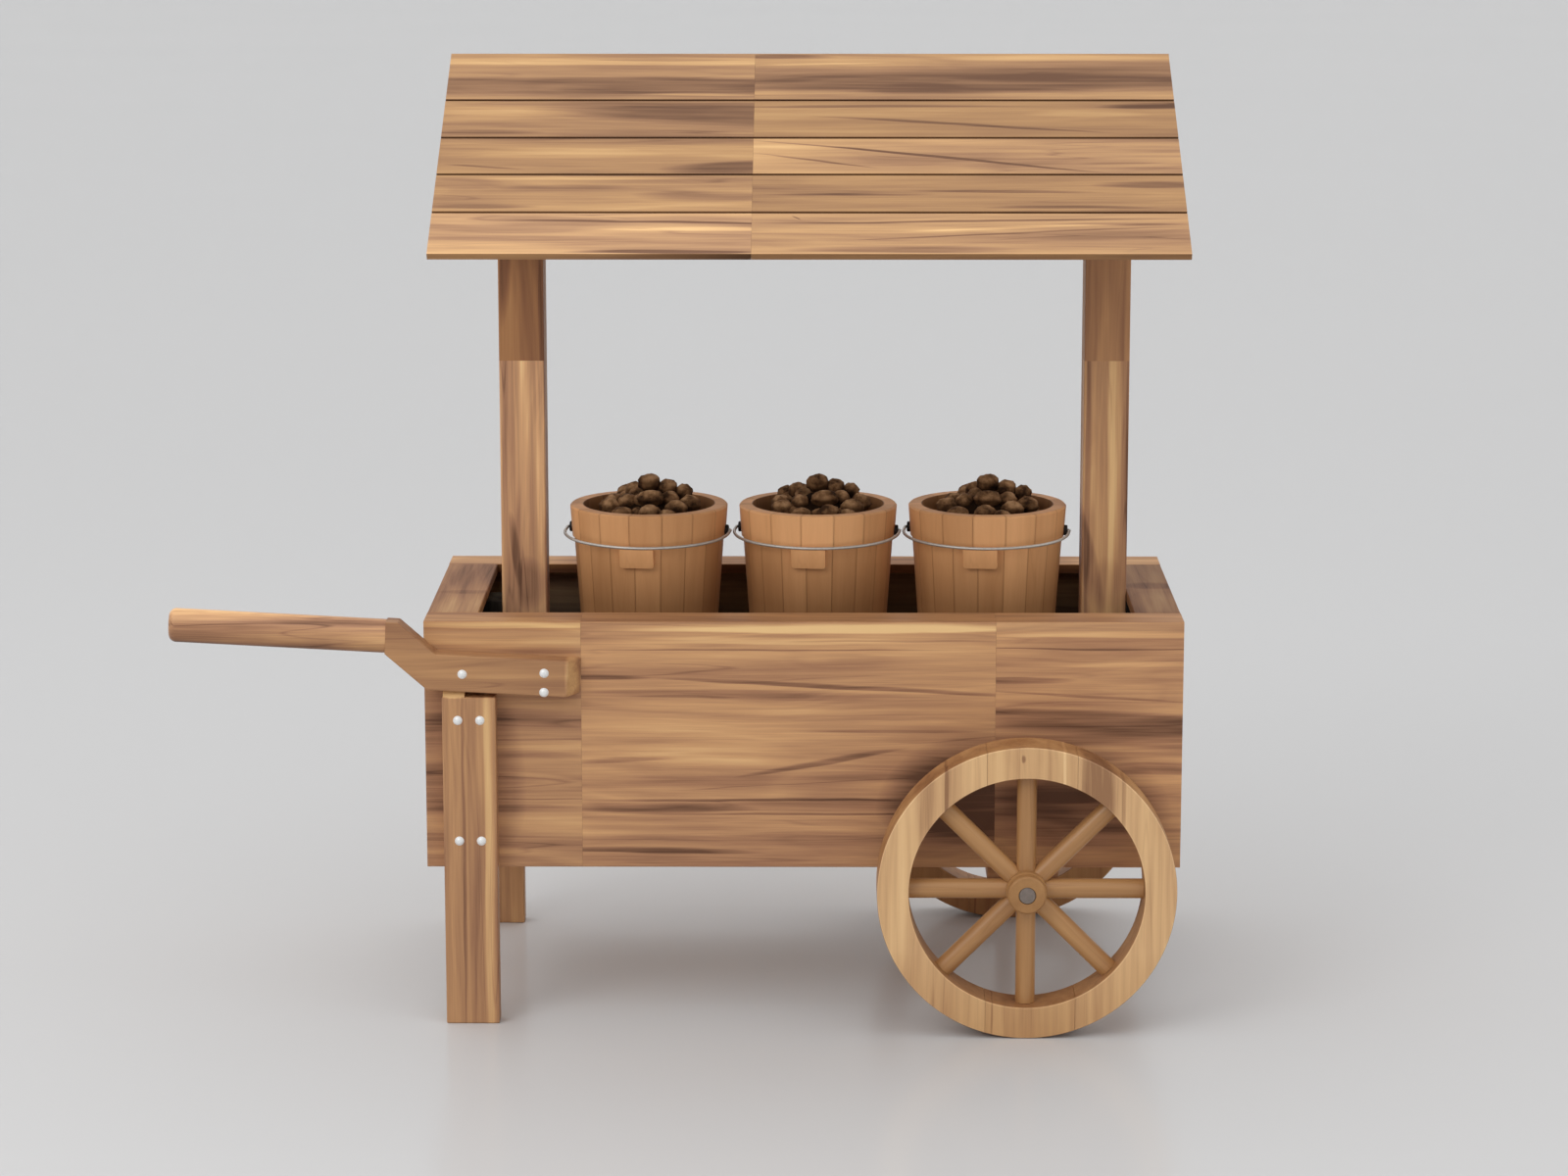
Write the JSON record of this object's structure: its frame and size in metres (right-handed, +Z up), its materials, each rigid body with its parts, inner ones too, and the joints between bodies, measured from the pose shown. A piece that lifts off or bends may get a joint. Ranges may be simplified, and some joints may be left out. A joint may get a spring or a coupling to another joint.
{
  "type": "vending cart",
  "caption": "Wooden vending cart with a plank box body, gable roof on posts, spoked wheels, a side handle, and stave buckets of nuts that lift out and have swinging wire bails.",
  "frame": {"origin": "on the floor under the middle of the whole cart's box", "axes": "+X along the cart from the handle end to the wheel end, -Y towards the serving front, +Z up"},
  "size_m": [1.69, 1.041, 1.6055],
  "materials": {
    "body_wood": "oiled",
    "roof_wood": "oiled",
    "handle_wood": "satin",
    "rim_wood": "oiled",
    "spoke_wood": "satin",
    "bucket_wood": "satin",
    "nut_shell": "matte",
    "black_iron": "satin",
    "bail_wire": "satin",
    "screw_steel": "polished",
    "axle_steel": "satin"
  },
  "bodies": {
    "cart": {"front_panel": "body_wood", "back_panel": "body_wood", "left_end_panel": "body_wood", "right_end_panel": "body_wood", "floor_panel": "body_wood", "rim_front": "body_wood", "rim_back": "body_wood", "rim_left": "body_wood", "rim_right": "body_wood", "inner_battens": "body_wood", "display_deck": "body_wood", "left_post_lower": "body_wood", "left_post_upper": "body_wood", "right_post_lower": "body_wood", "right_post_upper": "body_wood", "ridge_beam": "body_wood", "rafters": "body_wood", "tie_beams": "body_wood", "near_leg": "body_wood", "far_leg": "body_wood", "handle_arm": "handle_wood", "handle_grip": "handle_wood", "coach_screws": "screw_steel", "axle": "axle_steel", "axle_blocks": "body_wood", "axle_caps": "axle_steel", "roof_front_board_1": "roof_wood", "roof_front_board_2": "roof_wood", "roof_front_board_3": "roof_wood", "roof_front_board_4": "roof_wood", "roof_front_board_5": "roof_wood", "roof_back_board_1": "roof_wood", "roof_back_board_2": "roof_wood", "roof_back_board_3": "roof_wood", "roof_back_board_4": "roof_wood", "roof_back_board_5": "roof_wood"},
    "near_wheel": {"near_wheel_rim": "rim_wood", "near_wheel_spokes": "spoke_wood", "near_wheel_hub": "spoke_wood"},
    "far_wheel": {"far_wheel_rim": "rim_wood", "far_wheel_spokes": "spoke_wood", "far_wheel_hub": "spoke_wood"},
    "left_bucket": {"left_bucket_staves": "bucket_wood", "left_bucket_collar": "bucket_wood", "left_bucket_bottom": "bucket_wood", "left_bucket_ears": "black_iron", "left_bucket_nuts": "nut_shell"},
    "left_bail": {"left_bucket_bail": "bail_wire"},
    "middle_bucket": {"middle_bucket_staves": "bucket_wood", "middle_bucket_collar": "bucket_wood", "middle_bucket_bottom": "bucket_wood", "middle_bucket_ears": "black_iron", "middle_bucket_nuts": "nut_shell"},
    "middle_bail": {"middle_bucket_bail": "bail_wire"},
    "right_bucket": {"right_bucket_staves": "bucket_wood", "right_bucket_collar": "bucket_wood", "right_bucket_bottom": "bucket_wood", "right_bucket_ears": "black_iron", "right_bucket_nuts": "nut_shell"},
    "right_bail": {"right_bucket_bail": "bail_wire"}
  },
  "joints": [
    {"name": "near_wheel_spin", "type": "hinge", "parent": "cart", "child": "near_wheel", "pos_m": [0.582, -0.374, 0.249], "axis": [0, 1, 0], "continuous": true},
    {"name": "far_wheel_spin", "type": "hinge", "parent": "cart", "child": "far_wheel", "pos_m": [0.582, 0.374, 0.249], "axis": [0, 1, 0], "continuous": true},
    {"name": "left_bucket_lift", "type": "slide", "parent": "cart", "child": "left_bucket", "axis": [0, 0, 1], "range_m": [0, 0.2]},
    {"name": "left_bail_swing", "type": "hinge", "parent": "left_bucket", "child": "left_bail", "pos_m": [-0.057, 0, 0.79], "axis": [-0.9925, 0.1219, 0], "range_deg": [0, 208]},
    {"name": "middle_bucket_lift", "type": "slide", "parent": "cart", "child": "middle_bucket", "axis": [0, 0, 1], "range_m": [0, 0.2]},
    {"name": "middle_bail_swing", "type": "hinge", "parent": "middle_bucket", "child": "middle_bail", "pos_m": [0.235, 0, 0.79], "axis": [-0.9925, 0.1219, 0], "range_deg": [0, 208]},
    {"name": "right_bucket_lift", "type": "slide", "parent": "cart", "child": "right_bucket", "axis": [0, 0, 1], "range_m": [0, 0.2]},
    {"name": "right_bail_swing", "type": "hinge", "parent": "right_bucket", "child": "right_bail", "pos_m": [0.527, 0, 0.79], "axis": [-0.9925, 0.1219, 0], "range_deg": [0, 208]}
  ]
}
